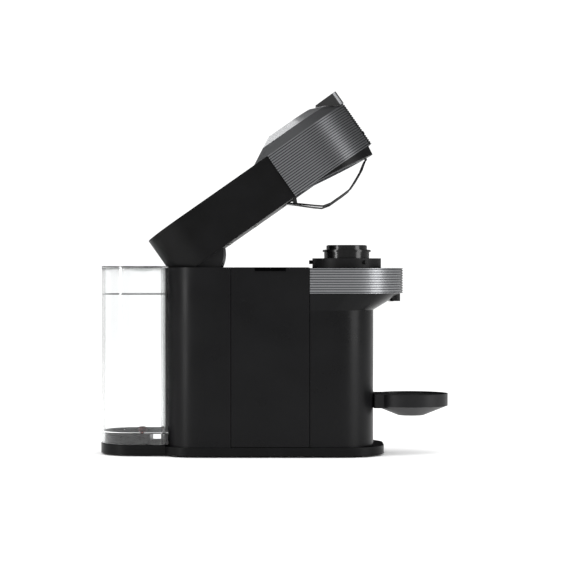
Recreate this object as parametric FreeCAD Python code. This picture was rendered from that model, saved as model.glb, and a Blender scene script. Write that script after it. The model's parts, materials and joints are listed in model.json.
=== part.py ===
import FreeCAD
import Part
import math
import os

# Pod coffee machine with its head raised: water tank at the rear (-X), cup support in front (+X).
# Millimetres, +Z up. The origin is on the table plane, midway between the tank's back and the
# cup support's front. Head pieces are drawn closed, then turned open about the hinge.

V = FreeCAD.Vector
os.makedirs("parts", exist_ok=True)

# ---- overall ----
depth = 429.0            # tank back to cup support front
body_half_width = 69.5
wall = 2.4               # moulded casing wall
fit_gap = 0.6            # parting gap between neighbouring casings
slide_gap = 0.4          # clearance beside a piece that swings inside another
swing_gap = 0.5          # clearance round the arm's corner where it dips into the body
swing_steps = 14
# ---- base ----
base_half_width = 71.0
base_height = 12.3
base_corner_radius = 50.0
base_front_overhang = 13.0
foot_radius = 7.0
foot_height = 2.0
# ---- body ----
body_top = 230.3
body_corner_radius = 50.0
rear_length = 83.6       # rear casing, back to container
container_length = 94.6
column_length = 78.5     # container to column front
column_half_width = 68.0
column_corner_radius = 49.0
# ---- brew head seat ----
brew_reach = 46.3        # front of container to brew axis
band_height = 30.5
bowl_height = 20.5
rib_pitch = 3.05
rib_groove = 1.25
rib_depth = 0.9
insert_half_angle = 18.4
insert_depth = 1.3
# ---- head ----
open_angle = 35.0
unit_tilt = 8.6          # brew unit hangs by this when the head is open
pivot_forward = 35.7     # hinge ahead of the body's back
pivot_rise = 16.2        # hinge above the body's top
head_gap = 1.2           # head underside above body top, closed
arm_thickness = 59.5
roof_shoulder = 11.7     # lower facet rise
roof_crown = 8.1         # upper facet rise
roof_mid_half = 50.0
roof_top_half = 32.0
roof_rear_lead = 19.6    # roof starts this far behind the ribbed cover
roof_rear_run = 35.5
drum_radius = 38.5
drum_half_width = 58.0
pin_radius = 4.0
run_clear = 0.05         # radial running clearance
ear_inner = 43.9
ear_thickness = 6.2
button_radius = 13.0
button_ring_radius = 16.4
lever_throw = 30.0
cap_radius = 67.2
# ---- brew parts ----
collar_radius = 42.5
collar_height = 12.0
lug_radius = 2.4
lug_reach = 4.1
seat_radius = 27.5       # spinning cup's outside
seat_rise = 15.8         # cup rim above the collar
cup_bore = 21.8
unit_radius = 64.8
unit_flat = 61.5
unit_lift = 2.0          # unit's underside above the head's underside
trunnion_back = 22.1
trunnion_rise = 8.5
trunnion_radius = 3.0
hoop_radius = 58.0
hoop_front = 55.0
hoop_runs = [(-58.0, 5.0), (-47.2, 11.3), (-23.5, 27.0), (-16.0, 30.8), (19.5, 25.3),
             (44.5, 9.0), (52.0, 0.0), (60.0, -0.3)]  # ahead of the axis, below the head
hoop_wire = 1.1
# ---- tank ----
tank_half_width = 48.0
tank_length = 76.4
tank_rear_radius = 44.0
tank_wall = 1.8
tank_top = 229.4
lid_thickness = 2.4
dock_height = 14.0
plinth_height = 12.0
valve_radius = 6.3
fill_line_z = 197.0
# ---- cup support ----
support_radius = 45.8
support_rim_z = 74.4
support_wall = 15.0
support_cone = 12.0
support_foot_radius = 16.0
support_skin = 2.2

tank_back = -depth / 2
valve_x = tank_back + 50.5
tank_floor_z = dock_height + plinth_height + 1.2
body_back = tank_back + tank_length + 2.2
container_back = body_back + rear_length
container_front = container_back + container_length
column_front = container_front + column_length + fit_gap
cover_back = container_front + fit_gap
brew_x = container_front + brew_reach + fit_gap
head_front = brew_x + body_half_width
base_front = column_front + base_front_overhang
support_x = depth / 2 - support_radius
band_bottom = body_top - 1.1 - band_height
band_top = body_top - 1.1
deck_z0 = body_top - 2.6
bowl_bottom = band_bottom - bowl_height
deck_top = band_top + 0.3
pivot = V(body_back + pivot_forward, 0, body_top + pivot_rise)
head_bottom = body_top + head_gap
arm_top = head_bottom + arm_thickness
arm_half_width = body_half_width - wall - slide_gap
mid_z = arm_top + roof_shoulder
crown_z = mid_z + roof_crown
collar_top = deck_top + collar_height
seat_top = collar_top + seat_rise
trunnion = V(brew_x - trunnion_back, 0, head_bottom + trunnion_rise)
inner_half = body_half_width - wall


def box(x0, x1, y0, y1, z0, z1):
    return Part.makeBox(x1 - x0, y1 - y0, z1 - z0, V(x0, y0, z0))


def disc(x, y, z0, z1, r):
    return Part.makeCylinder(r, z1 - z0, V(x, y, z0))


def ring(x, z0, z1, outer, inner):
    return disc(x, 0, z0, z1, outer).cut(disc(x, 0, z0 - 1, z1 + 1, inner))


def bar_y(x, z, y0, y1, r):
    return Part.makeCylinder(r, y1 - y0, V(x, y0, z), V(0, 1, 0))


def cone(x, z0, z1, r0, r1):
    return Part.makeCone(r0, r1, z1 - z0, V(x, 0, z0))


def cone_at(x, y, z0, z1, r0, r1):
    return Part.makeCone(r0, r1, z1 - z0, V(x, y, z0))


def fuse(shapes):
    whole = shapes[0]
    for s in shapes[1:]:
        whole = whole.fuse(s)
    return whole.removeSplitter()


def cut(shape, tools):
    for t in tools:
        shape = shape.cut(t)
    return shape


def mirror_y(shape):
    return shape.mirror(V(0, 0, 0), V(0, 1, 0))


def outline(x0, x1, half, rear_r, front_r, z):
    """Closed wire: straight sides, quarter arcs at the rear and front corners."""
    edges = []

    def line(a, b):
        if (b - a).Length > 1e-6:
            edges.append(Part.makeLine(a, b))

    def corner(cx, cy, r, start):
        if r <= 1e-6:
            return
        a = [math.radians(start + d) for d in (0, 45, 90)]
        p = [V(cx + r * math.cos(t), cy + r * math.sin(t), z) for t in a]
        edges.append(Part.Arc(*p).toShape())

    line(V(x0 + rear_r, -half, z), V(x1 - front_r, -half, z))
    corner(x1 - front_r, -half + front_r, front_r, -90)
    line(V(x1, -half + front_r, z), V(x1, half - front_r, z))
    corner(x1 - front_r, half - front_r, front_r, 0)
    line(V(x1 - front_r, half, z), V(x0 + rear_r, half, z))
    corner(x0 + rear_r, half - rear_r, rear_r, 90)
    line(V(x0, half - rear_r, z), V(x0, -half + rear_r, z))
    corner(x0 + rear_r, -half + rear_r, rear_r, 180)
    return Part.Wire(edges)


def prism(x0, x1, half, rear_r, front_r, z0, z1):
    face = Part.Face(outline(x0, x1, half, rear_r, front_r, z0))
    return face.extrude(V(0, 0, z1 - z0))


def loft(wires):
    return Part.makeLoft(wires, True, True)


def sector(x, r0, r1, z0, z1, a0, a1):
    """Part of a ring about a vertical axis, between two angles from +X in degrees."""
    wedge = Part.makeCylinder(r1, z1 - z0, V(x, 0, z0), V(0, 0, 1), a1 - a0)
    wedge.rotate(V(x, 0, z0), V(0, 0, 1), a0)
    return wedge.cut(disc(x, 0, z0 - 1, z1 + 1, r0))


def around(shape, x, angle):
    s = shape.copy()
    s.rotate(V(x, 0, 0), V(0, 0, 1), angle)
    return s


def chain(points, r):
    """Round bar along straight runs with rounded bends and flat ends."""
    parts = []
    for a, b in zip(points, points[1:]):
        parts.append(Part.makeCylinder(r, (b - a).Length, a, b - a))
    parts += [Part.makeSphere(r, p) for p in points[1:-1]]
    return fuse(parts)


def to_open(shape):
    s = shape.copy()
    s.rotate(pivot, V(0, -1, 0), open_angle)
    return s


def to_hang(shape):
    s = shape.copy()
    s.rotate(trunnion, V(0, 1, 0), unit_tilt)
    return to_open(s)


nodes = {}


# ---- base, feet and dock ----
def make_base():
    skin = prism(body_back - 6, base_front, base_half_width, base_corner_radius, base_corner_radius,
                 foot_height, base_height)
    dock = prism(tank_back, body_back + 40, tank_half_width + 1.0, tank_rear_radius, 1.0,
                 foot_height, dock_height)
    dock = dock.cut(prism(body_back - 6, base_front, base_half_width, base_corner_radius, 1.0,
                          base_height, dock_height + 1))
    tray = fuse([skin, dock])
    hollow = prism(body_back + 4, base_front - 12, base_half_width - 8, base_corner_radius - 8,
                   base_corner_radius - 8, foot_height + 2.4, base_height - 2.4)
    under = prism(body_back + 12, base_front - 20, base_half_width - 16, base_corner_radius - 16,
                  base_corner_radius - 16, foot_height, foot_height + 2.4)
    tray = cut(tray, [hollow, under])
    nodes["base_plate"] = tray
    nodes["bottom_cover"] = under
    places = [(body_back + 24, 46), (body_back + 24, -46), (base_front - 34, 46), (base_front - 34, -46)]
    feet = [disc(x, y, 0, foot_height, foot_radius) for x, y in places]
    feet.append(disc(tank_back + 22, 0, 0, foot_height, foot_radius))
    nodes["rubber_feet"] = Part.makeCompound(feet)


# ---- tank, its valve and lid ----
def nest(grow, z0, z1):
    return prism(body_back - 2.2 + grow, container_back, body_half_width + 2.2 - grow,
                 body_corner_radius + 2.2 - grow, 1.0, z0, z1)


def tank_prism(inset, z0, z1):
    whole = prism(tank_back + 0.9 + inset, body_back + 8.4 - inset, tank_half_width - inset,
                  tank_rear_radius - inset, 0.5, z0, z1)
    return whole.cut(nest(-inset, z0 - 1, z1 + 1))


def make_tank():
    outer = tank_prism(0, dock_height, tank_top)
    inner = tank_prism(tank_wall, tank_floor_z + 1.8, tank_top + 1)
    skirt = tank_prism(tank_wall, dock_height - 1, tank_floor_z)
    body = cut(outer, [inner, skirt])
    line = tank_prism(tank_wall - 0.1, fill_line_z, fill_line_z + 0.8).cut(
        tank_prism(tank_wall + 0.5, fill_line_z - 1, fill_line_z + 2))
    body = body.fuse(line)
    boss = ring(valve_x, tank_floor_z + 1.8, tank_floor_z + 3.4, valve_radius + 2.2, valve_radius + 0.5)
    body = body.fuse(boss).cut(disc(valve_x, 0, dock_height, tank_floor_z + 2, 3.0))
    nodes["water_tank"] = body.removeSplitter()
    poppet = cone(valve_x, tank_floor_z + 2.0, tank_floor_z + 6.0, valve_radius, 3.4)
    stem = disc(valve_x, 0, tank_floor_z - 1.4, tank_floor_z + 2.0, 2.4)
    nodes["tank_valve"] = fuse([poppet, stem])
    cover = tank_prism(-0.1, tank_top + 0.2, tank_top + 0.2 + lid_thickness)
    grip = tank_prism(9, tank_top + lid_thickness - 0.6, tank_top + lid_thickness + 1)
    cover = cover.cut(grip)
    for side in (-1, 1):
        rib_y = side * (tank_half_width - tank_wall - 1.6)
        cover = cover.fuse(box(tank_back + 40, tank_back + 60, min(rib_y, rib_y - side * 1.4),
                               max(rib_y, rib_y - side * 1.4), tank_top - 4.0, tank_top + 0.4))
    nodes["tank_lid"] = cover.removeSplitter()
    lean = 10.5
    plinth = prism(tank_back + 4.5, body_back - 6 - lean, tank_half_width - tank_wall - 2.0,
                   tank_rear_radius - 4, 12, dock_height, dock_height + plinth_height - 0.4)
    socket_cut = disc(valve_x, 0, dock_height + 4, dock_height + 20, 8.2)
    nodes["tank_plinth"] = plinth.cut(socket_cut)
    nodes["dock_socket"] = fuse([ring(valve_x, dock_height + 4, dock_height + plinth_height - 1.6, 8.0, 4.6),
                                 disc(valve_x, 0, dock_height + 4, dock_height + 6, 7.0)])
    nodes["socket_seal"] = ring(valve_x, dock_height + 6.0, dock_height + 8.4, 4.5, 2.2)


# ---- rear casing, container and column ----
def make_rear():
    front = container_back - fit_gap
    shell = prism(body_back, front, body_half_width, body_corner_radius, 0.01, base_height, body_top)
    core = prism(body_back + wall, front + 5, inner_half, body_corner_radius - wall, 0.01,
                 base_height - 1, body_top + 1)
    shell = shell.cut(core)
    corner = prism(body_back - swing_gap, pivot.x + 20, arm_half_width + swing_gap / 2,
                   body_corner_radius - wall, 0.01, head_bottom - swing_gap, head_bottom + 12)
    for step in range(1, swing_steps + 1):
        passing = corner.copy()
        passing.rotate(pivot, V(0, -1, 0), open_angle * step / swing_steps)
        shell = shell.cut(passing)
    nodes["rear_casing"] = shell
    bulk = prism(front - wall - 30, front, inner_half - 0.2, 0.01, 0.01, base_height, deck_z0)
    bulk = bulk.cut(prism(front - wall - 31, front - wall, inner_half - 0.2 - 3, 0.01, 0.01,
                          base_height - 1, body_top + 1))
    keep = prism(front - 20, front, inner_half, 0.01, 0.01, base_height, body_top)
    nodes["rear_bulkhead"] = bulk.common(keep)
    deck = prism(body_back + wall, front, inner_half, body_corner_radius - wall, 0.01, deck_z0, body_top)
    deck = deck.common(box(pivot.x + 5.6, front, -inner_half, inner_half, deck_z0, body_top))
    drum_slot = box(pivot.x - 50, pivot.x + 36.2, -drum_half_width - 0.8,
                    drum_half_width + 0.8, deck_z0 - 1, body_top + 1)
    nodes["rear_deck"] = deck.cut(drum_slot)


def make_container():
    z0, z1 = base_height + fit_gap, body_top
    half = body_half_width
    panel = box(container_back, container_front, half - wall, half, z0, z1)
    mid = (container_back + container_front) / 2
    notch = box(mid - 19, mid + 19, half - wall - 1, half + 1, z1 - 4.6, z1 + 1)
    lip = box(mid - 19, mid + 19, half - 1.0, half + 1, z1 - 7.0, z1 - 4.6)
    pull_side = mirror_y(panel)
    pull_side = cut(pull_side, [mirror_y(notch), mirror_y(lip)])
    bin_top = 212.0
    shell = box(container_back + 0.4, container_front - 0.4, -half + wall, half - wall, z0, bin_top)
    shell = shell.cut(box(container_back + 2.4, container_front - 2.4, -half + 4.4, half - 4.4,
                          z0 + 2, bin_top + 1))
    rounds = []
    for y in (-half + 4.4, half - 4.4):
        rounds.append(bar_x_fillet(y, z0 + 2, 12.0))
    nodes["capsule_container"] = fuse([shell, panel, pull_side] + rounds)


def bar_x_fillet(y, z, r):
    """Concave fillet along X in the bin's lower edge, against the wall at y."""
    inward = -1 if y > 0 else 1
    x0, x1 = container_back + 2.4, container_front - 2.4
    block = box(x0, x1, min(y, y + inward * r), max(y, y + inward * r), z, z + r)
    bore = Part.makeCylinder(r, x1 - x0 + 2, V(x0 - 1, y + inward * r, z + r), V(1, 0, 0))
    return block.cut(bore)


def column_loft(inset, z0, z1):
    """Flares from the column's rounded front to the head seat's half round."""
    low = outline(cover_back + inset, column_front - inset, column_half_width - inset, 0.01,
                  column_corner_radius - inset, z0)
    high = outline(cover_back + inset, head_front - 2.4 - inset, body_half_width - 0.6 - inset, 0.01,
                   body_half_width - 0.7 - inset, z1)
    return loft([low, high])


def make_column():
    tube = prism(cover_back, column_front, column_half_width, 0.01, column_corner_radius,
                 base_height, bowl_bottom)
    core = prism(cover_back - 5, column_front - wall, column_half_width - wall, 0.01,
                 column_corner_radius - wall, base_height - 1, bowl_bottom + 0.01)
    bowl = column_loft(0, bowl_bottom, band_bottom)
    bowl_core = column_loft(wall, bowl_bottom, band_bottom)
    back_open = box(cover_back - 1, cover_back + wall + 0.1, -column_half_width + wall,
                    column_half_width - wall, bowl_bottom, band_bottom)
    tube = tube.cut(core)
    bowl = cut(bowl, [bowl_core, back_open])
    spout_hole = box(head_front - 18, head_front - 9, -7, 7, bowl_bottom, band_bottom + 1)
    rail_slots = []
    for side in (-1, 1):
        y = side * 7.0
        rail_slots.append(box(column_front - 5, column_front + 5, y - 1.6, y + 1.6, 24, 126))
    nodes["column_casing"] = cut(fuse([tube, bowl]), [spout_hole] + rail_slots)
    bulk_z1 = 196.0
    nodes["column_bulkhead"] = box(cover_back, cover_back + wall, -column_half_width + wall,
                                   column_half_width - wall, base_height, bulk_z1)
    band = prism(cover_back, head_front, body_half_width, 0.01, body_half_width - 0.01, band_bottom, band_top)
    band = band.cut(prism(cover_back - 5, head_front - wall, inner_half, 0.01, inner_half - 0.01,
                          band_bottom - 1, band_top + 1))
    band = ribbed(band, band_bottom, 10)
    gap = sector(brew_x, body_half_width - insert_depth, body_half_width + 3, band_bottom - 1, band_top + 1,
                 -insert_half_angle, insert_half_angle)
    nodes["ribbed_band"] = band.cut(gap)
    nodes["band_front_insert"] = front_insert(band_bottom, band_top, 10)
    plate = prism(cover_back, head_front - wall, inner_half, 0.01, inner_half - 0.01,
                  deck_top - 3.0, deck_top)
    pit = disc(brew_x, 0, deck_top - 6, deck_top + 1, 32.5)
    slot = sector(brew_x, hoop_radius - 5.4, hoop_radius + 3.6, deck_top - 6, deck_top + 1, 9, 160)
    nodes["front_deck"] = largest(cut(plate, [slot, mirror_y(slot), pit]))


def largest(shape):
    return max(shape.Solids, key=lambda s: s.Volume)


def ribbed(shell, z0, count):
    """Cuts level grooves round the outside of a wall that follows the head's outline."""
    for i in range(count):
        z = z0 + (i + 0.5) * rib_pitch - rib_groove / 2
        over = prism(cover_back - 3, head_front + 3, body_half_width + 3, 0.01, body_half_width + 2.9,
                     z, z + rib_groove)
        core = prism(cover_back - 4, head_front - rib_depth, body_half_width - rib_depth, 0.01,
                     body_half_width - rib_depth - 0.01, z - 1, z + rib_groove + 1)
        shell = shell.cut(over.cut(core))
    return shell


def front_insert(z0, z1, count):
    a = insert_half_angle - 0.25
    piece = sector(brew_x, body_half_width - insert_depth, body_half_width, z0, z1, -a, a)
    for i in range(count):
        z = z0 + (i + 0.5) * rib_pitch - rib_groove / 2
        piece = piece.cut(ring(brew_x, z, z + rib_groove, body_half_width + 3, body_half_width - rib_depth))
    return piece


# ---- spout, collar and spinning cup ----
def make_brew_seat():
    nozzle = prism(head_front - 15.5, head_front - 3.6, 12.0, 3.0, 5.0, bowl_bottom + 10.5, band_bottom - 0.2)
    nozzle = nozzle.cut(column_loft(-0.05, bowl_bottom, band_bottom).cut(
        box(head_front - 19, head_front + 9, -12.1, 12.1, bowl_bottom, band_bottom + 1)))
    bowl = column_loft(0, bowl_bottom, band_bottom)
    outside = nozzle.cut(bowl)
    neck = box(head_front - 17.5, head_front - 9.5, -6.6, 6.6, band_bottom - 9.0, band_bottom + 2)
    spout = fuse([outside, neck])
    bore = Part.makeCylinder(2.4, 60, V(head_front - 13.4, 3.6, bowl_bottom))
    spout = cut(spout, [bore, mirror_y(bore)])
    nodes["coffee_spout"] = spout
    collar = ring(brew_x, deck_top, collar_top, collar_radius, 32.5)
    lug_z = collar_top - 4.8
    lugs = []
    for a in (180, 60, -60):
        lug = Part.makeCylinder(lug_radius, collar_radius + lug_reach - 38,
                                V(brew_x + 38, 0, lug_z), V(1, 0, 0))
        lugs.append(around(lug, brew_x, a))
    nodes["bayonet_collar"] = fuse([collar] + lugs)
    drip_guard = cut(disc(brew_x, 0, 196, deck_top - 3, 38.0),
                     [disc(brew_x, 0, 199, deck_top, 35.4), disc(brew_x, 0, 190, 210, 9.0)])
    nodes["brew_chamber_bowl"] = drip_guard
    floor_z = collar_top - 14.0
    cup = ring(brew_x, floor_z, seat_top - 5.0, seat_radius - 0.4, cup_bore)
    base = cone(brew_x, floor_z - 8, floor_z, 10.0, seat_radius - 0.4)
    dish = Part.makeSphere(cup_bore, V(brew_x, 0, floor_z + 12))
    cup = fuse([cup, base]).cut(dish)
    lip = ring(brew_x, seat_top - 8.0, seat_top - 5.4, seat_radius + 2.2, cup_bore)
    crown = ring(brew_x, seat_top - 5.4, seat_top, seat_radius - 2.4, cup_bore)
    nodes["capsule_holder"] = fuse([cup, lip, crown])
    nodes["holder_sleeve"] = ring(brew_x, collar_top - 6, seat_top - 8, seat_radius + 0.4, seat_radius - 0.4)
    nodes["rotor_shaft"] = disc(brew_x, 0, 150, floor_z - 8, 5.0)
    nodes["shaft_bearing"] = ring(brew_x, 199, 206, 12.0, 5.0 + run_clear)
    motor = cut(fuse([disc(brew_x, 0, 120, 176, 26.0), disc(brew_x, 0, 176, 182, 12.0)]),
                [disc(brew_x, 0, 149, 183, 5.6)])
    nodes["spin_motor"] = motor
    mount = cut(prism(cover_back + wall, brew_x + 26, 44, 0.01, 30, 176, 179),
                [disc(brew_x, 0, 175, 190, 12.3)])
    posts = [disc(brew_x + dx, dy, 179, 196, 3.0) for dx, dy in ((-24, 24), (-24, -24), (24, 24), (24, -24))]
    nodes["motor_bracket"] = fuse([mount] + posts)


# ---- cup support ----
def make_support():
    z1 = support_rim_z
    z0 = z1 - support_wall
    z_foot = z0 - support_cone
    dish = disc(support_x, 0, z0, z1, support_radius)
    cup = cone(support_x, z_foot, z0, support_foot_radius, support_radius)
    whole = dish.fuse(cup)
    hollow = disc(support_x, 0, z0 + 0.5, z1 + 1, support_radius - support_skin)
    hollow = hollow.fuse(cone(support_x, z_foot + support_skin, z0 + 0.6, support_foot_radius - 1,
                              support_radius - support_skin))
    neck = prism(column_front + 0.5, support_x - 20, 30.0, 2.0, 0.5, z0 - 2, z1)
    whole = fuse([whole, neck]).cut(hollow)
    hooks = []
    for side in (-1, 1):
        y = side * 7.0
        hooks.append(box(column_front - 4.4, column_front + 3, y - 1.2, y + 1.2, z0, z1 - 2))
    carriage = box(column_front - 5.4, column_front - wall - 0.6, -11, 11, z0, z1 - 2)
    nodes["cup_support"] = fuse([whole, carriage] + hooks)
    grid_r = support_radius - support_skin - 0.4
    grid = disc(support_x, 0, z1 - 4.6, z1 - 1.8, grid_r)
    slots = []
    for i in range(-5, 6):
        y = i * 7.0
        reach = math.sqrt(grid_r ** 2 - y ** 2) - 6.0
        if reach > 6:
            slots.append(box(support_x - reach, support_x + reach, y - 1.5, y + 1.5, z1 - 6, z1))
    nodes["drip_grid"] = cut(grid, slots)
    rest = ring(support_x, z1 - 6.2, z1 - 4.6, support_radius - support_skin + 0.2,
                support_radius - support_skin - 3)
    nodes["cup_support"] = nodes["cup_support"].fuse(rest).removeSplitter()


# ---- hinge ----
def make_hinge():
    for name, side in (("hinge_ear_right", -1), ("hinge_ear_left", 1)):
        y0 = ear_inner if side > 0 else -ear_inner - ear_thickness
        upright = box(pivot.x - 8.5, pivot.x + 8.5, y0, y0 + ear_thickness, 186, pivot.z)
        top = bar_y(pivot.x, pivot.z, y0, y0 + ear_thickness, 8.5)
        flange = box(pivot.x - 16, pivot.x + 16, y0, y0 + ear_thickness, 180, 186)
        nodes[name] = fuse([upright, top, flange]).cut(
            bar_y(pivot.x, pivot.z, y0 - 1, y0 + ear_thickness + 1, pin_radius))
    nodes["hinge_pin"] = bar_y(pivot.x, pivot.z, -drum_half_width + 1, drum_half_width - 1, pin_radius)
    shelf = prism(body_back + wall, container_back - fit_gap - 20.4, inner_half,
                  body_corner_radius - wall, 0.01, 176, 180)
    nodes["hinge_shelf"] = shelf.cut(box(pivot.x - 8, pivot.x + 8, -20, 20, 170, 190))


# ---- head, drawn closed ----
def roof(z_low, z_high, half_low, half_high, rear_low, rear_high):
    low = outline(rear_low, brew_x + half_low, half_low, 0.01, half_low - 0.01, z_low)
    high = outline(rear_high, brew_x + half_high, half_high, 0.01, half_high - 0.01, z_high)
    return loft([low, high])


def make_head():
    rear = body_back
    roof_back = cover_back - roof_rear_lead
    shoulder_back = roof_back + roof_rear_run * roof_shoulder / (roof_shoulder + roof_crown)
    crown_back = roof_back + roof_rear_run
    shell = prism(rear, cover_back - 0.01, arm_half_width, body_corner_radius - wall - slide_gap, 0.01,
                  head_bottom, arm_top)
    core = prism(rear + wall, cover_back + 9, arm_half_width - wall,
                 body_corner_radius - 2 * wall - slide_gap, 0.01, head_bottom - 1, arm_top - wall)
    nodes["arm_casing"] = to_open(shell.cut(core))

    side = prism(cover_back, head_front, body_half_width, 0.01, body_half_width - 0.01,
                 head_bottom + 0.6, arm_top)
    side = side.cut(prism(cover_back - 5, head_front - wall, inner_half, 0.01, inner_half - 0.01,
                          head_bottom - 1, arm_top + 1))
    side = ribbed(side, head_bottom + 0.9, 19)
    lower = roof(arm_top, mid_z, arm_half_width, roof_mid_half, roof_back, shoulder_back)
    lower_core = roof(arm_top - 0.1, mid_z + 0.1, arm_half_width - 3.4, roof_mid_half - 3.4,
                      roof_back + 6, shoulder_back + 6)
    collar = prism(cover_back, head_front, body_half_width, 0.01, body_half_width - 0.01,
                   arm_top - 0.6, arm_top)
    collar = collar.cut(prism(cover_back - 1, head_front - 5.0, arm_half_width - 3.4, 0.01,
                              arm_half_width - 3.41, arm_top - 2, arm_top + 1))
    cover = fuse([side, collar, lower.cut(lower_core)])
    gap = sector(brew_x, body_half_width - insert_depth, body_half_width + 3, head_bottom, arm_top - 0.7,
                 -insert_half_angle, insert_half_angle)
    track = sector(brew_x, 53.5, 57.5, arm_top - 2, crown_z + 2, -9, lever_throw + 9)
    nodes["ribbed_head_cover"] = to_open(cut(cover, [gap, track]))
    lens = Part.makeCylinder(1.9, 1.4, V(head_front - 0.9, 0, head_bottom + 18.3), V(1, 0, 0))
    nodes["status_lens"] = to_open(lens)
    insert = front_insert(head_bottom + 0.9, arm_top - 0.9, 19)
    nodes["head_front_insert"] = to_open(insert.cut(lens))

    upper = roof(mid_z + 0.02, crown_z, roof_mid_half, roof_top_half, shoulder_back, crown_back)
    upper_core = roof(mid_z - 0.1, crown_z - 2.2, roof_mid_half - 4.5, roof_top_half - 2.0,
                      shoulder_back + 6, crown_back + 4)
    button_hole = disc(brew_x, 0, mid_z - 2, crown_z + 2, button_ring_radius + 0.2)
    nodes["top_panel"] = to_open(cut(upper, [upper_core, button_hole]))
    well = disc(brew_x, 0, crown_z - 9.4, crown_z + 0.3, button_ring_radius)
    nodes["button_ring"] = to_open(well.cut(disc(brew_x, 0, crown_z - 7.9, crown_z + 1, button_radius + 0.6)))
    button = disc(brew_x, 0, crown_z - 5.2, crown_z + 0.4, button_radius)
    button = button.cut(Part.makeSphere(60, V(brew_x, 0, crown_z + 59.6)))
    nodes["brew_button"] = to_open(button)
    nose_z1 = crown_z - 0.4
    nose = sector(brew_x, 40.6, body_half_width - 0.6, arm_top + 1, nose_z1, -17, 17)
    under = fuse([roof(arm_top, mid_z, arm_half_width + 0.01, roof_mid_half + 0.01, roof_back,
                       shoulder_back),
                  roof(mid_z, crown_z, roof_mid_half, roof_top_half, shoulder_back, crown_back)])
    under.translate(V(0, 0, 0.8))
    nose = nose.cut(under)
    stem = sector(brew_x, 54.0, 57.0, arm_top - 8, mid_z + 2, -7, 7)
    hook = sector(brew_x, 50.0, 57.0, arm_top - 11, arm_top - 8, -7, 7)
    nose = nose.cut(ring(brew_x, arm_top + 2.2, nose_z1 + 1, body_half_width + 5, cap_radius))
    nodes["lever"] = to_open(fuse([nose, stem, hook]))
    cap = sector(brew_x, cap_radius, body_half_width + 0.6, arm_top + 2.2, nose_z1, -17, 17)
    nodes["lever_cap"] = to_open(cap)


def make_arm_inside():
    inner = arm_half_width - wall - 0.2
    plate = prism(body_back + wall + 0.2, cover_back - 4, inner,
                  body_corner_radius - 2 * wall - slide_gap - 0.2, 0.01, head_bottom, head_bottom + 2.4)
    plate = plate.cut(disc(brew_x, 0, head_bottom - 1, head_bottom + 4, unit_radius + 1.6))
    drum = bar_y(pivot.x, pivot.z, -drum_half_width, drum_half_width, drum_radius)
    quarter = box(pivot.x - 8, pivot.x + 60, -70, 70, pivot.z - 60, pivot.z + 8)
    drum = drum.common(quarter)
    hollow = bar_y(pivot.x, pivot.z, -drum_half_width + 3, drum_half_width - 3, drum_radius - 2.6)
    inside_box = box(pivot.x - 5, pivot.x + 60, -70, 70, pivot.z - 60, pivot.z + 60)
    drum = drum.cut(hollow.common(inside_box))
    hub = bar_y(pivot.x, pivot.z, -drum_half_width, drum_half_width, 8.0)
    webs = []
    for y in (-drum_half_width, -ear_inner + 0.6 - 0.2, ear_inner - 3.4, drum_half_width - 3):
        web = bar_y(pivot.x, pivot.z, y, y + 3, drum_radius - 0.5).common(quarter)
        webs.append(web)
    body = fuse([plate, drum, hub] + webs)
    slots = []
    for side in (-1, 1):
        y0 = ear_inner - 0.5 if side > 0 else -ear_inner - ear_thickness - 0.5
        y1 = y0 + ear_thickness + 1.0
        slots.append(bar_y(pivot.x, pivot.z, y0, y1, 12.0))
        for step in range(5):
            way = box(pivot.x - 9.8, pivot.x + 9.8, y0, y1, pivot.z - 50, pivot.z)
            way.rotate(pivot, V(0, 1, 0), step * open_angle / 4)
            slots.append(way)
    bore = bar_y(pivot.x, pivot.z, -70, 70, pin_radius + run_clear)
    places = [(body_back + dx, dy) for dx in (80, 120) for dy in (-30, 30)]
    holes = [disc(x, y, head_bottom - 1, head_bottom + 4, 1.5 + run_clear) for x, y in places]
    nodes["arm_underside"] = to_open(cut(body, slots + [bore] + holes))
    roof_in = arm_top - wall
    cheeks = []
    for side in (-1, 1):
        y = side * 64.25
        y0, y1 = min(y, y - side * 2.0), max(y, y - side * 2.0)
        cheek = box(trunnion.x - 12, trunnion.x + 12, y0, y1, head_bottom + 2.8, roof_in)
        cheeks.append(cheek.cut(bar_y(trunnion.x, trunnion.z, y0 - 1, y1 + 1, trunnion_radius + run_clear)))
    bridge = box(trunnion.x - 12, trunnion.x + 12, -64.25, 64.25, roof_in - 3, roof_in)
    spine = box(body_back + 70, trunnion.x - 12, -20, 20, roof_in - 3, roof_in)
    manifold = box(trunnion.x - 12, trunnion.x + 6, 4, 20, roof_in - 9.2, roof_in - 3)
    nodes["head_frame"] = to_open(fuse(cheeks + [bridge, spine, manifold]))
    hose_z = roof_in - 6.2
    hose = chain([V(body_back + 78, 12, head_bottom + 2.4), V(body_back + 78, 12, hose_z),
                  V(trunnion.x - 12, 12, hose_z)], 2.6)
    nodes["head_water_hose"] = to_open(hose)
    screws = [disc(x, y, head_bottom, head_bottom + 6, 1.5).fuse(
        disc(x, y, head_bottom - 0.9, head_bottom, 3.0)) for x, y in places]
    nodes["arm_screws"] = to_open(Part.makeCompound(screws))


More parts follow.
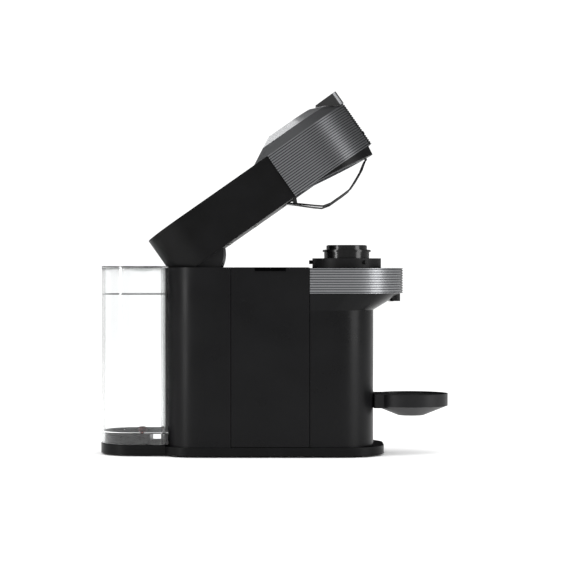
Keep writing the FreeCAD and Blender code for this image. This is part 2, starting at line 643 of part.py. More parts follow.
# ---- brew unit, drawn level and closed ----
def make_unit():
    z0 = head_bottom + unit_lift
    low = disc(brew_x, 0, z0, z0 + 13.5, unit_radius)
    high = disc(brew_x, 0, z0 + 13.5, z0 + 40, 56.0)
    flats = box(brew_x - 80, brew_x + 80, -unit_flat + 0.6, unit_flat - 0.6, z0 - 1, z0 + 60)
    housing = fuse([low, high]).common(flats)
    ring_top = z0 + 10.2
    cavities = [disc(brew_x, 0, z0 - 1, ring_top, 53.2), disc(brew_x, 0, z0, z0 + 24.8, 36.0),
                disc(brew_x, 0, z0 + 20, z0 + 37.0, 32.4), disc(brew_x, 0, z0 + 30, z0 + 45, 6.0 + run_clear)]
    housing = cut(housing, cavities)
    pins = []
    for side in (-1, 1):
        y = side * 58.0
        pins.append(bar_y(trunnion.x, trunnion.z, min(y, side * 64.0), max(y, side * 64.0), trunnion_radius))
    nodes["brew_unit_housing"] = to_hang(fuse([housing] + pins))
    lock = ring(brew_x, z0 - 0.9, ring_top - 0.3, 52.6, 43.7)
    lug_z = collar_top - 4.8
    groove = ring(brew_x, lug_z - 2.9, lug_z + 2.9, 47.9, 43.0)
    gates = []
    for a in (180, 60, -60):
        gate = box(brew_x + 43, brew_x + 47.9, -4.6, 4.6, z0 - 2, lug_z + 2.9)
        gates.append(around(gate, brew_x, a))
    lock = cut(lock, [groove] + gates)
    nodes["locking_ring"] = to_hang(lock)
    nodes["chamber_gasket"] = to_hang(ring(brew_x, z0 + 22.0, z0 + 24.6, 35.9, 32.6))
    head_z = seat_top + 1.2
    spindle = fuse([disc(brew_x, 0, head_z, head_z + 9, 31.6), disc(brew_x, 0, head_z + 9, z0 + 44, 6.0),
                    disc(brew_x, 0, z0 + 40.4, z0 + 44, 9.0)])
    needles = [cone(brew_x, head_z - 7.5, head_z, 0.5, 1.8)]
    for i in range(18):
        tip = Part.makeCone(0.25, 0.9, 2.2, V(brew_x + 18.0, 0, head_z - 2.2))
        needles.append(around(tip, brew_x, i * 20))
    nodes["piercing_plate"] = to_hang(fuse([spindle] + needles))
    window = box(brew_x - 52.4 - 9, brew_x - 53.6, -6, 6, z0 - 0.25, z0 + 1.2)
    nodes["code_reader_window"] = to_hang(window)
    nodes["brew_unit_housing"] = nodes["brew_unit_housing"].cut(to_hang(window))
    nodes["ejector_hoop"] = to_hang(make_hoop(z0))


def hoop_drop(dx):
    """How far the wire hangs below the head's underside, with its corners eased over a short run."""
    total = 0
    for ease in (-4, -2, 0, 2, 4):
        x = min(max(dx + ease, hoop_runs[0][0]), hoop_runs[-1][0])
        for (x0, d0), (x1, d1) in zip(hoop_runs, hoop_runs[1:]):
            if x0 <= x <= x1:
                total += d0 + (d1 - d0) * (x - x0) / (x1 - x0)
                break
    return total / 5


def hoop_point(angle):
    t = math.radians(angle)
    dx = (hoop_front if angle < 90 else hoop_radius) * math.cos(t)
    return V(brew_x + dx, hoop_radius * math.sin(t), head_bottom - hoop_drop(dx))


def make_hoop(z0):
    """Wire loop round the brew axis: straight runs that dip at the sides and lie level in front."""
    run = [hoop_point(a) for a in range(180, -1, -10)]
    half = chain(run, hoop_wire)
    stays = []
    for angle in (170, 8):
        for side in (-1, 1):
            p = hoop_point(angle)
            stays.append(cone_at(p.x, side * p.y, p.z, z0, 1.05, 1.3))
    for side in (-1, 1):
        foot = hoop_point(144)
        corners = [(-5, z0), (5, z0), (0.8, foot.z), (-0.8, foot.z), (-5, z0)]
        gusset = Part.Face(Part.makePolygon([V(foot.x + dx, 0, z) for dx, z in corners]))
        stays.append(gusset.extrude(V(0, 2, 0)).translated(V(0, side * foot.y - 1, 0)))
    ends = [Part.makeSphere(hoop_wire, p) for p in (run[0], run[-1])]
    return fuse([half, mirror_y(half)] + ends + stays)


# ---- works inside the body ----
def make_works():
    pump_x, pump_y = body_back + 44, -34
    core = fuse([disc(pump_x, pump_y, 60, 118, 19.0), disc(pump_x, pump_y, 118, 140, 9.0),
                 disc(pump_x, pump_y, 40, 60, 8.0)])
    nodes["water_pump"] = core
    nodes["pump_mounts"] = Part.makeCompound([
        disc(pump_x, pump_y, 140, 146, 11.0),
        disc(pump_x, pump_y, 34, 40, 11.0)])
    nodes["pump_cradle"] = fuse([disc(pump_x, pump_y, base_height, 34, 12.0),
                                 box(pump_x - 14, pump_x + 14, pump_y - 14, pump_y + 14, base_height, 18)])
    block = box(body_back + 30, body_back + 72, 8, 54, 40, 128)
    block = block.cut(Part.makeCylinder(5.0, 90, V(body_back + 51, 31, 39)))
    fins = [box(body_back + 26, body_back + 30, 12 + i * 8, 15 + i * 8, 46, 122) for i in range(5)]
    legs = [disc(body_back + dx, dy, base_height, 40, 3.0) for dx in (36, 66) for dy in (14, 48)]
    nodes["thermoblock"] = fuse([block] + fins + legs)
    board = box(body_back + 76.2, body_back + 77.8, -52, 52, 60, 170)
    chips = [box(body_back + 70, body_back + 76.2, -40, -22, 80, 110),
             box(body_back + 72, body_back + 76.2, 30, 48, 140, 160),
             box(body_back + 71, body_back + 76.2, -10, 6, 134, 158)]
    posts = [Part.makeCylinder(3.0, 2.8, V(body_back + 77.8, y, z), V(1, 0, 0))
             for y in (-46, 46) for z in (66, 164)]
    nodes["control_board"] = fuse([board] + chips + posts)
    nodes["pump_hose"] = chain([V(pump_x, pump_y, 146), V(pump_x, pump_y, 158), V(body_back + 51, 42, 158),
                                V(body_back + 51, 42, 128)], 3.0)
    shell = Part.makeCylinder(6.0, 3.2, V(body_back + 52, base_half_width - 1.2, 7.2), V(0, 1, 0))
    nodes["power_inlet"] = fuse([shell.common(
        box(body_back + 40, body_back + 64, 60, base_half_width, 0, 12)),
        Part.makeCylinder(4.2, 6, V(body_back + 52, base_half_width - 7, 7.2), V(0, 1, 0))])
    nodes["base_plate"] = nodes["base_plate"].cut(
        Part.makeCylinder(6.1, 20, V(body_back + 52, base_half_width - 1.2, 7.2), V(0, 1, 0))).cut(
        Part.makeCylinder(4.3, 12, V(body_back + 52, base_half_width - 9, 7.2), V(0, 1, 0)))


make_base()
make_tank()
make_rear()
make_container()
make_column()
make_brew_seat()
make_support()
make_hinge()
make_head()
make_arm_inside()
make_unit()
make_works()

for name, shape in nodes.items():
    solids = shape.Solids
    if not solids:
        raise SystemExit(name + " has no solid")
    for s in solids:
        if not s.isValid():
            print("invalid solid in", name)
    out = solids[0] if len(solids) == 1 else Part.makeCompound(solids)
    out.exportStep("parts/" + name + ".step")
    print(name, len(solids), round(sum(s.Volume for s in solids)))
print(len(nodes), "nodes")
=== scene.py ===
import bpy
import json
import math
import numpy as np
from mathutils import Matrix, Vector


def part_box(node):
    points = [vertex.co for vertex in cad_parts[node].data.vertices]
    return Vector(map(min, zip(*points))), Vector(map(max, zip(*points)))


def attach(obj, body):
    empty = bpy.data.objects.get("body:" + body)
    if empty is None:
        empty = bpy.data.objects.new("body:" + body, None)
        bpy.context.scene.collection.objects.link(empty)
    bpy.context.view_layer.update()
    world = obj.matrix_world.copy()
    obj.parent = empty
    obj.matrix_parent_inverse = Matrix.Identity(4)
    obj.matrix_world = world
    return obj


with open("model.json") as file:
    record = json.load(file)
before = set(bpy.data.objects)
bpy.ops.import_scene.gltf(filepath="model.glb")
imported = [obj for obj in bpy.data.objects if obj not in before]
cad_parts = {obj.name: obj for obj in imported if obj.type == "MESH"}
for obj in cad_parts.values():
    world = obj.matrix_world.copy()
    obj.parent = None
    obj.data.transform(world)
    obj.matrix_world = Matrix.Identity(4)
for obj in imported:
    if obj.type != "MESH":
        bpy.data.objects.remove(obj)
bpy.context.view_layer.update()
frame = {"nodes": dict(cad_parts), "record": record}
nodes = frame["nodes"]
print("frame loaded:", len(nodes), "CAD nodes")


def linearFromHex(hexColour):
    # each sRGB value goes back to linear light: a 2.4 power, and a straight part near black
    values = [int(hexColour[i:i + 2], 16) / 255 for i in (1, 3, 5)]
    return tuple(v / 12.92 if v <= 0.04045 else ((v + 0.055) / 1.055) ** 2.4 for v in values) + (1.0,)


def addNode(tree, kind, inputs=None, links=None, **settings):
    node = tree.nodes.new(kind)
    for key, value in settings.items():
        setattr(node, key, value)
    for key, value in (inputs or {}).items():
        node.inputs[key].default_value = value
    for key, source in (links or {}).items():
        tree.links.new(source, node.inputs[key])
    return node


def startMaterial(name):
    material = bpy.data.materials.new(name)
    material.use_nodes = True
    material.node_tree.nodes.clear()
    place = addNode(material.node_tree, "ShaderNodeTexCoord")
    return material, material.node_tree, place.outputs["Object"]


def twoTones(tree, factor, dark, light, low=0.35, high=0.65):
    # dark up to low, light from high, blended between
    ramp = addNode(tree, "ShaderNodeValToRGB", links={"Fac": factor})
    for element, position, shade in zip(ramp.color_ramp.elements, (low, high), (dark, light)):
        element.position = position
        element.color = linearFromHex(shade)
    return ramp.outputs["Color"]


def finishMaterial(material, tree, inputs, links):
    shader = addNode(tree, "ShaderNodeBsdfPrincipled", inputs, links)
    addNode(tree, "ShaderNodeOutputMaterial", links={"Surface": shader.outputs["BSDF"]})
    return material


def mouldedAbs(name, v):
    # ABS from a spark-eroded tool: a fine even grain, and a broad change of polish where hands go;
    # the grain is drawn coarser than the real one, so that it shows
    material, tree, where = startMaterial(name)
    grain = addNode(tree, "ShaderNodeTexNoise",
                    {"Scale": 1000 / v["grainMm"], "Detail": 3.0, "Roughness": 0.6}, {"Vector": where})
    handling = addNode(tree, "ShaderNodeTexNoise", {"Scale": 1000 / v["handlingMm"], "Detail": 5.0},
                       {"Vector": where})
    polish = addNode(tree, "ShaderNodeMapRange",
                     {"From Min": 0.3, "From Max": 0.7, "To Min": v["rough"] - v["drift"],
                      "To Max": v["rough"] + v["drift"]}, {"Value": handling.outputs["Fac"]})
    bump = addNode(tree, "ShaderNodeBump", {"Strength": v["bump"], "Distance": v["grainMm"] / 8000},
                   {"Height": grain.outputs["Fac"]})
    return finishMaterial(material, tree,
                          {"IOR": 1.5, "Specular IOR Level": v["shine"], "Coat Weight": v["coat"],
                           "Coat Roughness": 0.12, "Coat IOR": 1.3},
                          {"Base Color": twoTones(tree, handling.outputs["Fac"], v["dark"], v["light"]),
                           "Roughness": polish.outputs["Result"], "Normal": bump.outputs["Normal"]})


def flakedLacquer(name, v):
    # lacquer with fine flakes, under a clear coat where it has one; the flakes are drawn coarser than
    # real ones, so that they show
    material, tree, where = startMaterial(name)
    flakes = addNode(tree, "ShaderNodeTexVoronoi", {"Scale": 1000 / v["flakeMm"]}, {"Vector": where})
    cloud = addNode(tree, "ShaderNodeTexNoise", {"Scale": 1000 / v["cloudMm"], "Detail": 3.0},
                    {"Vector": where})
    sparkle = addNode(tree, "ShaderNodeSeparateColor", links={"Color": flakes.outputs["Color"]})
    both = addNode(tree, "ShaderNodeMath", links={0: sparkle.outputs["Red"], 1: cloud.outputs["Fac"]},
                   operation="MULTIPLY")
    rough = addNode(tree, "ShaderNodeMapRange",
                    {"To Min": v["rough"] - 0.06, "To Max": v["rough"] + 0.08},
                    {"Value": sparkle.outputs["Green"]})
    bump = addNode(tree, "ShaderNodeBump", {"Strength": 0.12, "Distance": 0.00003},
                   {"Height": flakes.outputs["Distance"]})
    tone = twoTones(tree, both.outputs["Value"], v["dark"], v["light"], 0.05, 0.75)
    return finishMaterial(material, tree,
                          {"Metallic": v["metallic"], "Coat Weight": v["coat"], "Coat Roughness": 0.08},
                          {"Base Color": tone, "Roughness": rough.outputs["Result"],
                           "Normal": bump.outputs["Normal"]})


def ribbedLacquer(name, v, lowPoint, along):
    # metallic lacquer over moulded ribs, with painted shade down in each groove and the lacquer's own tone on
    # the crests
    # height = (point - lowPoint) . along; its fraction of a rib pitch is 0.5 in the middle of a groove
    # above the top rib the surface is plain and has a tone of its own; flakes are drawn coarse here too
    material, tree, where = startMaterial(name)
    height = addNode(tree, "ShaderNodeVectorMath", {1: tuple(along)}, {0: where}, operation="DOT_PRODUCT")
    above = addNode(tree, "ShaderNodeMath", {1: float(np.dot(lowPoint, along))},
                    {0: height.outputs["Value"]}, operation="SUBTRACT")
    pitches = addNode(tree, "ShaderNodeMath", {1: v["pitchMm"] / 1000}, {0: above.outputs["Value"]},
                      operation="DIVIDE")
    within = addNode(tree, "ShaderNodeMath", links={0: pitches.outputs["Value"]}, operation="FRACT")
    fromGroove = addNode(tree, "ShaderNodeMath", {1: 0.5}, {0: within.outputs["Value"]},
                         operation="SUBTRACT")
    away = addNode(tree, "ShaderNodeMath", links={0: fromGroove.outputs["Value"]}, operation="ABSOLUTE")
    # painted shade in the grooves, the lacquer's own tone on the crests
    ribs = twoTones(tree, away.outputs["Value"], v["groove"], v["crest"], v["grooveEdge"], v["crestEdge"])
    plain = addNode(tree, "ShaderNodeMath", {1: v["ribbedMm"] / 1000}, {0: above.outputs["Value"]},
                    operation="GREATER_THAN")
    # in colour mode the Mix node's colours are inputs 6 and 7, and its result is output 2
    colour = addNode(tree, "ShaderNodeMix", {7: linearFromHex(v["plain"])},
                     {0: plain.outputs["Value"], 6: ribs}, data_type="RGBA")
    flakes = addNode(tree, "ShaderNodeTexVoronoi", {"Scale": 1000 / v["flakeMm"]}, {"Vector": where})
    sparkle = addNode(tree, "ShaderNodeSeparateColor", links={"Color": flakes.outputs["Color"]})
    rough = addNode(tree, "ShaderNodeMapRange",
                    {"To Min": v["rough"] - 0.05, "To Max": v["rough"] + 0.07},
                    {"Value": sparkle.outputs["Green"]})
    return finishMaterial(material, tree,
                          {"Metallic": v["metallic"], "Coat Weight": 0.1, "Coat Roughness": 0.1},
                          {"Base Color": colour.outputs[2], "Roughness": rough.outputs["Result"]})


def drawnMetal(name, v):
    # drawn, turned or plated metal: long fine scratches that pull the highlight out
    material, tree, where = startMaterial(name)
    stretch = addNode(tree, "ShaderNodeMapping", {"Scale": v["stretch"]}, {"Vector": where})
    lines = addNode(tree, "ShaderNodeTexNoise", {"Scale": 1000 / v["lineMm"], "Detail": 4.0},
                    {"Vector": stretch.outputs["Vector"]})
    rough = addNode(tree, "ShaderNodeMapRange",
                    {"From Min": 0.3, "From Max": 0.7, "To Min": v["rough"] * 0.7,
                     "To Max": v["rough"] * 1.4}, {"Value": lines.outputs["Fac"]})
    bump = addNode(tree, "ShaderNodeBump", {"Strength": v["bump"], "Distance": 0.00002},
                   {"Height": lines.outputs["Fac"]})
    return finishMaterial(material, tree, {"Metallic": 1.0},
                          {"Base Color": twoTones(tree, lines.outputs["Fac"], v["dark"], v["light"]),
                           "Roughness": rough.outputs["Result"], "Normal": bump.outputs["Normal"]})


def clearCopolyester(name, v):
    # clear moulded plastic: hardly any colour straight through a thin wall, a faint ripple left by the mould,
    # and a darker edge where the wall is seen end on, partly the longer path through the wall and partly
    # painted shade for dark surroundings seen in it
    material, tree, where = startMaterial(name)
    ripple = addNode(tree, "ShaderNodeTexNoise", {"Scale": 1000 / v["rippleMm"], "Detail": 1.0},
                     {"Vector": where})
    film = addNode(tree, "ShaderNodeTexNoise", {"Scale": 1000 / v["filmMm"], "Detail": 4.0},
                   {"Vector": where})
    rough = addNode(tree, "ShaderNodeMapRange",
                    {"From Min": 0.4, "From Max": 0.8, "To Min": v["rough"],
                     "To Max": v["rough"] + 0.05}, {"Value": film.outputs["Fac"]})
    bump = addNode(tree, "ShaderNodeBump", {"Strength": 0.15, "Distance": 0.0002},
                   {"Height": ripple.outputs["Fac"]})
    slope = addNode(tree, "ShaderNodeLayerWeight", {"Blend": 0.5})
    # darker where the wall is seen end on: partly the wall's longer path, partly painted shade of dark
    # surroundings seen in the wall
    tintAndEdgeShade = twoTones(tree, slope.outputs["Facing"], v["colour"], v["edge"], v["edgeFrom"], v["edgeTo"])
    return finishMaterial(material, tree,
                          {"IOR": v["ior"], "Transmission Weight": 1.0, "Specular IOR Level": v["shine"]},
                          {"Base Color": tintAndEdgeShade, "Roughness": rough.outputs["Result"],
                           "Normal": bump.outputs["Normal"]})


def mouldedRubber(name, v):
    # silicone and foot rubber: dull, a little dusty, with a soft skin
    material, tree, where = startMaterial(name)
    dust = addNode(tree, "ShaderNodeTexNoise", {"Scale": 1000 / v["dustMm"], "Detail": 6.0},
                   {"Vector": where})
    skin = addNode(tree, "ShaderNodeTexNoise", {"Scale": 1000 / v["grainMm"], "Detail": 2.0},
                   {"Vector": where})
    bump = addNode(tree, "ShaderNodeBump", {"Strength": 0.3, "Distance": 0.00006},
                   {"Height": skin.outputs["Fac"]})
    return finishMaterial(material, tree,
                          {"Roughness": v["rough"], "IOR": 1.45, "Sheen Weight": 0.1,
                           "Subsurface Weight": v["soft"]},
                          {"Base Color": twoTones(tree, dust.outputs["Fac"], v["dark"], v["light"]),
                           "Normal": bump.outputs["Normal"]})


def etchedBoard(name, v):
    # glass-epoxy board: green mask over copper tracks about a millimetre apart
    material, tree, where = startMaterial(name)
    tracks = addNode(tree, "ShaderNodeTexBrick",
                     {"Scale": 1000 / v["trackMm"], "Color1": linearFromHex(v["mask"]),
                      "Color2": linearFromHex(v["maskLight"]), "Mortar": linearFromHex(v["copper"]),
                      "Mortar Size": 0.06}, {"Vector": where})
    return finishMaterial(material, tree, {"Roughness": 0.42, "IOR": 1.5},
                          {"Base Color": tracks.outputs["Color"]})


def castAluminium(name, v):
    # die-cast aluminium: matt, faintly pitted, brighter where the die was polished
    material, tree, where = startMaterial(name)
    pits = addNode(tree, "ShaderNodeTexVoronoi", {"Scale": 1000 / v["pitMm"]}, {"Vector": where})
    cloud = addNode(tree, "ShaderNodeTexNoise", {"Scale": 1000 / v["cloudMm"], "Detail": 5.0},
                    {"Vector": where})
    bump = addNode(tree, "ShaderNodeBump", {"Strength": 0.25, "Distance": 0.0001},
                   {"Height": pits.outputs["Distance"]})
    return finishMaterial(material, tree, {"Metallic": 0.9, "Roughness": v["rough"]},
                          {"Base Color": twoTones(tree, cloud.outputs["Fac"], v["dark"], v["light"]),
                           "Normal": bump.outputs["Normal"]})


glossCase = dict(dark="#0b0b0c", light="#0f0f10", rough=0.3, drift=0.05, grainMm=0.5, handlingMm=60,
                 bump=0.05, coat=0.0, shine=0.12)
satinCase = dict(dark="#0a0a0a", light="#0e0e0f", rough=0.42, drift=0.05, grainMm=0.45, handlingMm=45,
                 bump=0.12, coat=0.0, shine=0.1)
baseCase = dict(dark="#080808", light="#0c0c0d", rough=0.34, drift=0.05, grainMm=0.5, handlingMm=40,
                bump=0.1, coat=0.0, shine=0.11)
hardCase = dict(dark="#0c0c0d", light="#121213", rough=0.5, drift=0.06, grainMm=0.6, handlingMm=25,
                bump=0.2, coat=0.0, shine=0.2)
holderCase = dict(dark="#090909", light="#0d0d0d", rough=0.2, drift=0.04, grainMm=0.6, handlingMm=20,
                  bump=0.03, coat=0.25, shine=0.3)
supportCase = dict(dark="#161617", light="#1c1c1d", rough=0.4, drift=0.05, grainMm=0.45, handlingMm=30,
                   bump=0.14, coat=0.0, shine=0.16)
ribInsert = dict(dark="#0c0c0d", light="#111112", rough=0.3, drift=0.04, grainMm=0.5, handlingMm=30,
                 bump=0.04, coat=0.1, shine=0.3)
nylonFrame = dict(dark="#4c4e51", light="#5e6063", rough=0.55, drift=0.05, grainMm=0.7, handlingMm=18,
                  bump=0.25, coat=0.0, shine=0.4)
lightRing = dict(dark="#b3b4b6", light="#bfc0c2", rough=0.3, drift=0.04, grainMm=0.5, handlingMm=15,
                 bump=0.03, coat=0.2, shine=0.5)
# groove colours are painted shade for the bottom of each rib groove; crest is the lacquer's own tone
headRibs = dict(groove="#3a3b3d", crest="#7d7e80", plain="#6a6b6d", metallic=0.8, rough=0.36,
                flakeMm=0.35, pitchMm=3.05, grooveEdge=0.14, crestEdge=0.27, ribbedMm=58.2)
bandRibs = dict(groove="#46474a", crest="#88898b", plain="#8c8d8f", metallic=0.8, rough=0.36,
                flakeMm=0.35, pitchMm=3.05, grooveEdge=0.14, crestEdge=0.27, ribbedMm=40.0)
wirePaint = dict(dark="#0a0a0b", light="#101011", metallic=0.0, rough=0.35, coat=0.2, flakeMm=0.5,
                 cloudMm=20)
topLacquer = dict(dark="#8f9092", light="#adaeb0", metallic=0.75, rough=0.33, coat=0.3, flakeMm=0.35,
                  cloudMm=35)
motorLacquer = dict(dark="#4c4e51", light="#63666a", metallic=0.6, rough=0.45, coat=0.0, flakeMm=0.5,
                    cloudMm=20)
platedTrim = dict(dark="#b9babd", light="#dcdde0", rough=0.12, bump=0.03, lineMm=1.2, stretch=(1, 1, 8))
springWire = dict(dark="#8c8e90", light="#b4b6b8", rough=0.2, bump=0.1, lineMm=0.6, stretch=(6, 1, 1))
zincSteel = dict(dark="#83847f", light="#a3a49f", rough=0.34, bump=0.15, lineMm=1.0, stretch=(1, 6, 1))
needleSteel = dict(dark="#a6a8aa", light="#c8cacc", rough=0.16, bump=0.08, lineMm=0.8, stretch=(1, 1, 6))
# edge is the darker tone for walls seen end on, partly the longer path and partly painted shade of dark
# surroundings
tankClear = dict(colour="#fcfdfd", edge="#2e3133", edgeFrom=0.68, edgeTo=0.88, shine=0.14, ior=1.42,
                 rough=0.01, rippleMm=45, filmMm=25)
smokedLens = dict(colour="#3a3a3f", edge="#1c1c1f", edgeFrom=0.6, edgeTo=0.98, shine=0.5, ior=1.49,
                  rough=0.05, rippleMm=20, filmMm=8)
footRubber = dict(dark="#151515", light="#1f1f1f", rough=0.75, soft=0.0, dustMm=6, grainMm=0.7)
redSilicone = dict(dark="#5f211b", light="#7c2f27", rough=0.45, soft=0.1, dustMm=5, grainMm=0.8)
hoseSilicone = dict(dark="#c9c5ba", light="#dcd8ce", rough=0.4, soft=0.25, dustMm=8, grainMm=0.8)
castBlock = dict(dark="#7c7e80", light="#989a9c", rough=0.42, pitMm=1.4, cloudMm=14)
greenBoard = dict(mask="#17402c", maskLight="#1d4c35", copper="#6f6a35", trackMm=2.4)

finishes = {
    "gloss_black": mouldedAbs("polishedAbsCase", glossCase),
    "satin_black": mouldedAbs("satinAbsArm", satinCase),
    "base_black": mouldedAbs("satinAbsBase", baseCase),
    "hard_black": mouldedAbs("glassFilledAbs", hardCase),
    "holder_gloss": mouldedAbs("polishedAbsHolder", holderCase),
    "dark_ribbed": mouldedAbs("ribbedAbsInsert", ribInsert),
    "frame_grey": mouldedAbs("glassFilledNylon", nylonFrame),
    "light_button": mouldedAbs("diffuserAbs", lightRing),
    "top_silver": flakedLacquer("silverLacquer", topLacquer),
    "black_wire": flakedLacquer("blackWirePaint", wirePaint),
    "motor_can": flakedLacquer("motorCanLacquer", motorLacquer),
    "chrome_trim": drawnMetal("platedTrim", platedTrim),
    "steel": drawnMetal("stainlessWire", springWire),
    "zinc_steel": drawnMetal("zincPlatedSteel", zincSteel),
    "needle_steel": drawnMetal("turnedStainless", needleSteel),
    "clear_tank": clearCopolyester("clearCopolyester", tankClear),
    "lens_smoke": clearCopolyester("smokedAcrylic", smokedLens),
    "rubber_black": mouldedRubber("footRubber", footRubber),
    "valve_red": mouldedRubber("redSilicone", redSilicone),
    "hose_clear": mouldedRubber("hoseSilicone", hoseSilicone),
    "cast_alloy": castAluminium("dieCastAluminium", castBlock),
    "board_green": etchedBoard("etchedBoard", greenBoard)}
jointOf = {joint["name"]: joint for joint in frame["record"]["behaviour"]["joints"]}
headUp = np.array(jointOf["lever_turn"]["axis"], float)
unitUp = np.array(jointOf["lock_ring_turn"]["axis"], float)
headPoint = np.array(jointOf["lever_turn"]["pos_m"], float)
unitPoint = np.array(jointOf["lock_ring_turn"]["pos_m"], float)
brewX = jointOf["capsule_spin"]["pos_m"][0]
coverDepth = 0.0586  # head cover, from its top edge down to its lowest rib
ownFinish = {
    "cup_support": mouldedAbs("satinAbsSupport", supportCase),
    "ribbed_head_cover": ribbedLacquer("ribbedCoverLacquer", headRibs, headPoint - headUp * coverDepth,
                                       headUp),
    "ribbed_band": ribbedLacquer("ribbedBandLacquer", bandRibs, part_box("ribbed_band")[0], (0, 0, 1))}
supportAbs = ownFinish["cup_support"]
for part in frame["record"]["subparts"]:
    material = ownFinish.get(part["node"]) or finishes[part["material_slot"]]
    mesh = nodes[part["node"]].data
    mesh.materials.clear()
    mesh.materials.append(material)
print("materials set:", len(finishes) + len(ownFinish))

# soft moulded edges on the casings; the angle keeps the faceted curves untouched
edgeRadii = dict(base_plate=0.0011, rear_casing=0.0006, column_casing=0.0007, capsule_container=0.0006,
                 arm_casing=0.0009, top_panel=0.0006, lever=0.0006, tank_lid=0.0004, cup_support=0.0007,
                 bayonet_collar=0.0005, capsule_holder=0.0004, coffee_spout=0.0004, water_tank=0.0004,
                 brew_unit_housing=0.0006, tank_plinth=0.0006)
edgeShape = dict(segments=2, fromDegrees=38)
for name, radius in edgeRadii.items():
    bevel = nodes[name].modifiers.new("mouldedEdge", "BEVEL")
    bevel.width = radius
    bevel.segments = edgeShape["segments"]
    bevel.limit_method = "ANGLE"
    bevel.angle_limit = math.radians(edgeShape["fromDegrees"])
    bevel.harden_normals = True
print("edges softened:", len(edgeRadii))


def gridFaces(rows, columns, closeRows, closeColumns):
    # quads between neighbouring points of a rows by columns grid, wrapping where a side is closed
    r = np.arange(rows if closeRows else rows - 1)
    c = np.arange(columns if closeColumns else columns - 1)
    r, c = np.meshgrid(r, c, indexing="ij")
    r2, c2 = (r + 1) % rows, (c + 1) % columns
    return np.stack([r * columns + c, r2 * columns + c, r2 * columns + c2, r * columns + c2],
                    -1).reshape(-1, 4)


def surfacePiece(name, points, material, body, closeRows=False, closeColumns=False):
    mesh = bpy.data.meshes.new(name)
    rows, columns = points.shape[:2]
    mesh.from_pydata(points.reshape(-1, 3).tolist(), [],
                     gridFaces(rows, columns, closeRows, closeColumns).tolist())
    mesh.shade_smooth()
    mesh.validate()
    mesh.materials.append(material)
    piece = bpy.data.objects.new(name, mesh)
    bpy.context.scene.collection.objects.link(piece)
    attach(piece, body)
    return piece


def turned(profile, centre, along, steps=128):
    # a closed profile of (radius, height) pairs turned all the way round an axis
    along = np.array(along, float) / np.linalg.norm(along)
    side = np.array([0.0, 1.0, 0.0])
    front = np.cross(side, along)
    angle = np.linspace(0, 2 * math.pi, steps, endpoint=False)[:, None, None]
    radius, height = np.array(profile, float).T[:, None, :, None]
    spoke = np.cos(angle) * front + np.sin(angle) * side
    return np.array(centre) + radius * spoke + height * along


def roundSection(radius, height, wire, steps=16):
    # points of a small circle, counter-clockwise, at that radius and height
    a = np.linspace(0, 2 * math.pi, steps, endpoint=False)
    return np.stack([radius + wire * np.cos(a), height + wire * np.sin(a)], -1)


# small turned details, in metres: radius and height from the axis point each one stands on, and the
# radius of its round section, which is called wire
supportBead = dict(rim=0.0458, radius=0.04485, wire=0.0008)
cupSeal = dict(radius=0.0232, wire=0.0006)
buttonRing = dict(radius=0.01505, height=0.0201, wire=0.00055)
unitBead = dict(radius=0.0556, wire=0.0005)
nozzleLips = dict(radius=0.0029, wire=0.0004, back=0.0134, apart=0.0036)

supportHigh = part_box("cup_support")[1]
supportCentre = (supportHigh[0] - supportBead["rim"], 0.0, supportHigh[2] - supportBead["wire"])
surfacePiece("supportRimBead",
             turned(roundSection(supportBead["radius"], 0, supportBead["wire"]),
                    supportCentre, (0, 0, 1), 160),
             supportAbs, "cup_support", True, True)

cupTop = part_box("capsule_holder")[1][2]
surfacePiece("cupSealLip",
             turned(roundSection(cupSeal["radius"], 0, cupSeal["wire"]),
                    (brewX, 0, cupTop), (0, 0, 1)),
             finishes["rubber_black"], "capsule_spinner", True, True)

surfacePiece("buttonLightRing",
             turned(roundSection(buttonRing["radius"], buttonRing["height"], buttonRing["wire"]),
                    headPoint, headUp),
             finishes["light_button"], "head", True, True)

surfacePiece("unitSealBead",
             turned(roundSection(unitBead["radius"], 0, unitBead["wire"]),
                    unitPoint, unitUp, 160),
             finishes["rubber_black"], "brew_unit", True, True)

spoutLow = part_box("coffee_spout")[0]
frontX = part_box("ribbed_band")[1][0]
for sign, label in ((-1, "right"), (1, "left")):
    centre = (frontX - nozzleLips["back"], sign * nozzleLips["apart"], spoutLow[2])
    surfacePiece("nozzleLip_" + label,
                 turned(roundSection(nozzleLips["radius"], 0, nozzleLips["wire"]),
                        centre, (0, 0, 1), 48),
                 finishes["hard_black"], "chassis", True, True)
print("turned details made: 6")


def tubeAlong(path, wire, steps=8):
    # a round section carried along a level path: across = the path's direction turned a quarter turn;
    # the two ends stay open
    ahead = np.gradient(path, axis=0)
    ahead /= np.linalg.norm(ahead, axis=1)[:, None]
    across = np.stack([-ahead[:, 1], ahead[:, 0], np.zeros(len(path))], -1)
    angle = np.linspace(0, 2 * math.pi, steps, endpoint=False)[None, :, None]
    level, upright = across[:, None, :], np.array([0.0, 0.0, 1.0])
    return path[:, None, :] + wire * (np.cos(angle) * level + np.sin(angle) * upright)


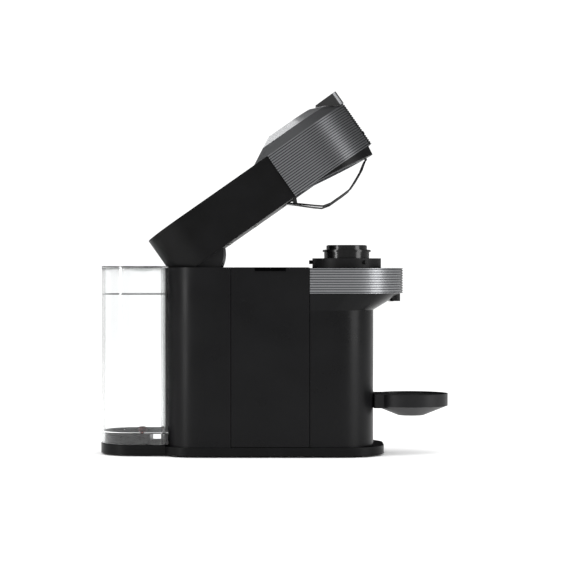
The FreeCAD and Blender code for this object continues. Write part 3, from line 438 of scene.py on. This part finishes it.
# moulded full mark on the inside of the tank, round its sides and back
fillMark = dict(height=0.1974, wall=0.0018, wire=0.00045, backRadius=0.0422, frontShort=0.004, stride=0.001)
tankLow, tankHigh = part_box("water_tank")
halfWide = tankHigh[1] - fillMark["wall"] - fillMark["wire"]
turn = np.radians(np.linspace(90, 180, 40))
cornerX = tankLow[0] + fillMark["wall"] + fillMark["backRadius"]
back = np.stack([cornerX + (fillMark["backRadius"] - fillMark["wire"]) * np.cos(turn),
                 halfWide - fillMark["backRadius"] + fillMark["backRadius"] * np.sin(turn),
                 0 * turn + fillMark["height"]], -1)
side = np.stack([np.linspace(tankHigh[0] - fillMark["frontShort"], back[0][0] + fillMark["stride"], 30),
                 np.full(30, halfWide), np.full(30, fillMark["height"])], -1)
half = np.concatenate([side, back])
other = half[::-1] * (1, -1, 1)
surfacePiece("tankFillMark", tubeAlong(np.concatenate([half, other[1:]]), fillMark["wire"]),
             finishes["frame_grey"], "water_tank", False, True)
print("full mark made")

# stage: one broad matt floor under a white room
floorSize = dict(half=120.0, colour="#fbfbfb")
mesh = bpy.data.meshes.new("paleFloor")
corners = np.array([(-1, -1, 0), (1, -1, 0), (1, 1, 0), (-1, 1, 0)]) * floorSize["half"]
mesh.from_pydata(corners.tolist(), [], [(0, 1, 2, 3)])
floor = bpy.data.objects.new("paleFloor", mesh)
bpy.context.scene.collection.objects.link(floor)
material, tree, where = startMaterial("mattFloorPaint")
paint = addNode(tree, "ShaderNodeTexNoise", {"Scale": 3.0}, {"Vector": where})
finishMaterial(material, tree, {"Roughness": 0.6, "Specular IOR Level": 0.0},
               {"Base Color": twoTones(tree, paint.outputs["Fac"], floorSize["colour"], "#fefefe")})
mesh.materials.append(material)

# white to the eye and to diffuse light, but nearly dark where a polished surface mirrors it
roomLight = dict(seen=1.12, mirrored=0.035)
room = bpy.data.worlds.new("whiteRoom")
bpy.context.scene.world = room
room.use_nodes = True
room.node_tree.nodes.clear()
tree = room.node_tree
rays = addNode(tree, "ShaderNodeLightPath")
strength = addNode(tree, "ShaderNodeMapRange", {"To Min": roomLight["seen"], "To Max": roomLight["mirrored"]},
                   {"Value": rays.outputs["Is Glossy Ray"]})
sky = addNode(tree, "ShaderNodeBackground", {"Color": (1, 1, 1, 1)},
              {"Strength": strength.outputs["Result"]})
addNode(tree, "ShaderNodeOutputWorld", links={"Surface": sky.outputs["Background"]})


def softbox(name, v):
    # a rectangular lamp that faces its aim point, unseen by the camera
    light = bpy.data.lights.new(name, "AREA")
    light.shape = "RECTANGLE"
    light.size, light.size_y, light.energy = v["width"], v["height"], v["watts"]
    lamp = bpy.data.objects.new(name, light)
    bpy.context.scene.collection.objects.link(lamp)
    away = np.array(v["place"]) - np.array(v["aim"])
    flat = math.hypot(away[0], away[1])
    lamp.location = v["place"]
    lamp.rotation_euler = (math.atan2(flat, away[2]), 0, math.atan2(away[0], -away[1]))
    lamp.visible_camera = False
    return lamp


softbox("overheadSoftbox", dict(place=(0.1, -0.5, 2.2), aim=(0, 0, 0.2), width=1.8, height=1.4, watts=9))
softbox("rearStripbox",
        dict(place=(-1.9, -1.3, 0.6), aim=(-0.1, 0, 0.25), width=0.3, height=1.6, watts=24))
softbox("frontStripbox",
        dict(place=(1.9, -1.0, 0.7), aim=(0.1, 0, 0.25), width=0.9, height=1.6, watts=26))
softbox("lowFill", dict(place=(0.3, -3.2, 1.6), aim=(0, 0, 0.2), width=1.6, height=1.0, watts=2))
softbox("topKicker", dict(place=(-1.35, 2.05, 2.15), aim=(0.02, 0, 0.38), width=0.8, height=0.8, watts=6))

# about level with the top of the body, square to its side, tipped down a little
view = dict(lens=137.6, place=(0.0128, -2.70, 0.2334), downDegrees=0.53, farClip=400)
lens = bpy.data.cameras.new("longLens")
lens.lens = view["lens"]
lens.clip_end = view["farClip"]
camera = bpy.data.objects.new("longLens", lens)
bpy.context.scene.collection.objects.link(camera)
camera.location = view["place"]
camera.rotation_euler = (math.radians(90 - view["downDegrees"]), 0, 0)
bpy.context.scene.camera = camera
bpy.context.scene.view_settings.view_transform = "Standard"

print("scene ready")
